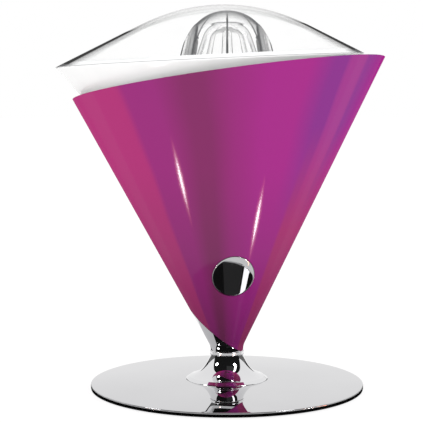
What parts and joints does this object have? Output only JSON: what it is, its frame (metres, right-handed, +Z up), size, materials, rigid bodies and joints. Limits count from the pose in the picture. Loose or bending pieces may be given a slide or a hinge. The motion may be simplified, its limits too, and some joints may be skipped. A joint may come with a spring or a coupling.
{
  "type": "electric juicer",
  "caption": "Electric citrus juicer: slanted conical painted body on a chrome neck and round base, with push button, white juice bowl, ribbed reamer and clear domed lid.",
  "frame": {"origin": "middle of the base's underside, on the table", "axes": "+Z up along the neck and the drive spindle, -Y towards the push button, -X towards the pouring side"},
  "size_m": [0.2551, 0.2459, 0.302],
  "materials": {
    "chrome_mirror": "mirror polished",
    "cover_paint": "high gloss",
    "bowl_white": "gloss",
    "lid_clear": "clear",
    "reamer_clear": "clear",
    "strainer_steel": "satin",
    "black_rubber": "matt",
    "plain_steel": "plain",
    "bush_brass": "plain",
    "winding_copper": "enamelled wire",
    "gear_plastic": "moulded",
    "grey_plastic": "moulded",
    "black_plastic": "moulded"
  },
  "bodies": {
    "housing": {"base_plate": "chrome_mirror", "foot_pad": "black_rubber", "base_nut": "plain_steel", "tie_rod": "plain_steel", "pedestal_neck": "chrome_mirror", "waist_collar": "chrome_mirror", "body_cone": "chrome_mirror", "body_nut": "plain_steel", "cover_shell": "cover_paint", "cord_gland": "black_rubber", "motor_deck": "grey_plastic", "deck_screws": "plain_steel", "gear_plate": "plain_steel", "gear_pillars": "plain_steel", "lower_bracket": "plain_steel", "motor_bolts": "plain_steel", "motor_stator": "plain_steel", "stator_winding": "winding_copper", "lower_bush": "bush_brass", "upper_bush": "bush_brass", "idler_axle": "plain_steel", "spindle_bush": "bush_brass", "shaft_seal": "black_rubber", "button_guide": "grey_plastic", "switch_body": "black_plastic", "button_spring": "plain_steel"},
    "rotor": {"motor_rotor": "plain_steel", "rotor_shaft": "plain_steel", "motor_pinion": "gear_plastic"},
    "idler": {"idler_gear": "gear_plastic"},
    "spindle": {"drive_spindle": "plain_steel", "spindle_gear": "gear_plastic"},
    "button": {"power_button": "chrome_mirror", "switch_plunger": "black_plastic"},
    "container": {"juice_container": "bowl_white", "container_tube": "bowl_white", "strainer": "strainer_steel"},
    "reamer": {"reamer": "reamer_clear"},
    "lid": {"lid": "lid_clear"}
  },
  "joints": [
    {"name": "container_lift", "type": "slide", "parent": "housing", "child": "container", "axis": [0, 0, 1], "range_m": [0, 0.12]},
    {"name": "lid_lift", "type": "slide", "parent": "container", "child": "lid", "axis": [0, 0, 1], "range_m": [0, 0.1]},
    {"name": "reamer_spin", "type": "hinge", "parent": "container", "child": "reamer", "pos_m": [0, 0, 0.26], "axis": [0, 0, 1], "continuous": true},
    {"name": "spindle_spin", "type": "hinge", "parent": "housing", "child": "spindle", "pos_m": [0, 0, 0.2], "axis": [0, 0, 1], "continuous": true},
    {"name": "idler_spin", "type": "hinge", "parent": "housing", "child": "idler", "pos_m": [0.03, 0, 0.165], "axis": [0, 0, 1], "continuous": true},
    {"name": "rotor_spin", "type": "hinge", "parent": "housing", "child": "rotor", "pos_m": [0, 0, 0.14], "axis": [0, 0, 1], "continuous": true},
    {"name": "button_press", "type": "slide", "parent": "housing", "child": "button", "axis": [0, 1, 0], "range_m": [0, 0.0025], "stiffness_N_per_m": 800, "deforming": ["button_spring"]}
  ],
  "couplings": [
    {"joint": "spindle_spin", "follows": "reamer_spin", "ratio": 1},
    {"joint": "idler_spin", "follows": "reamer_spin", "ratio": -3.2857},
    {"joint": "rotor_spin", "follows": "reamer_spin", "ratio": 13.143}
  ]
}
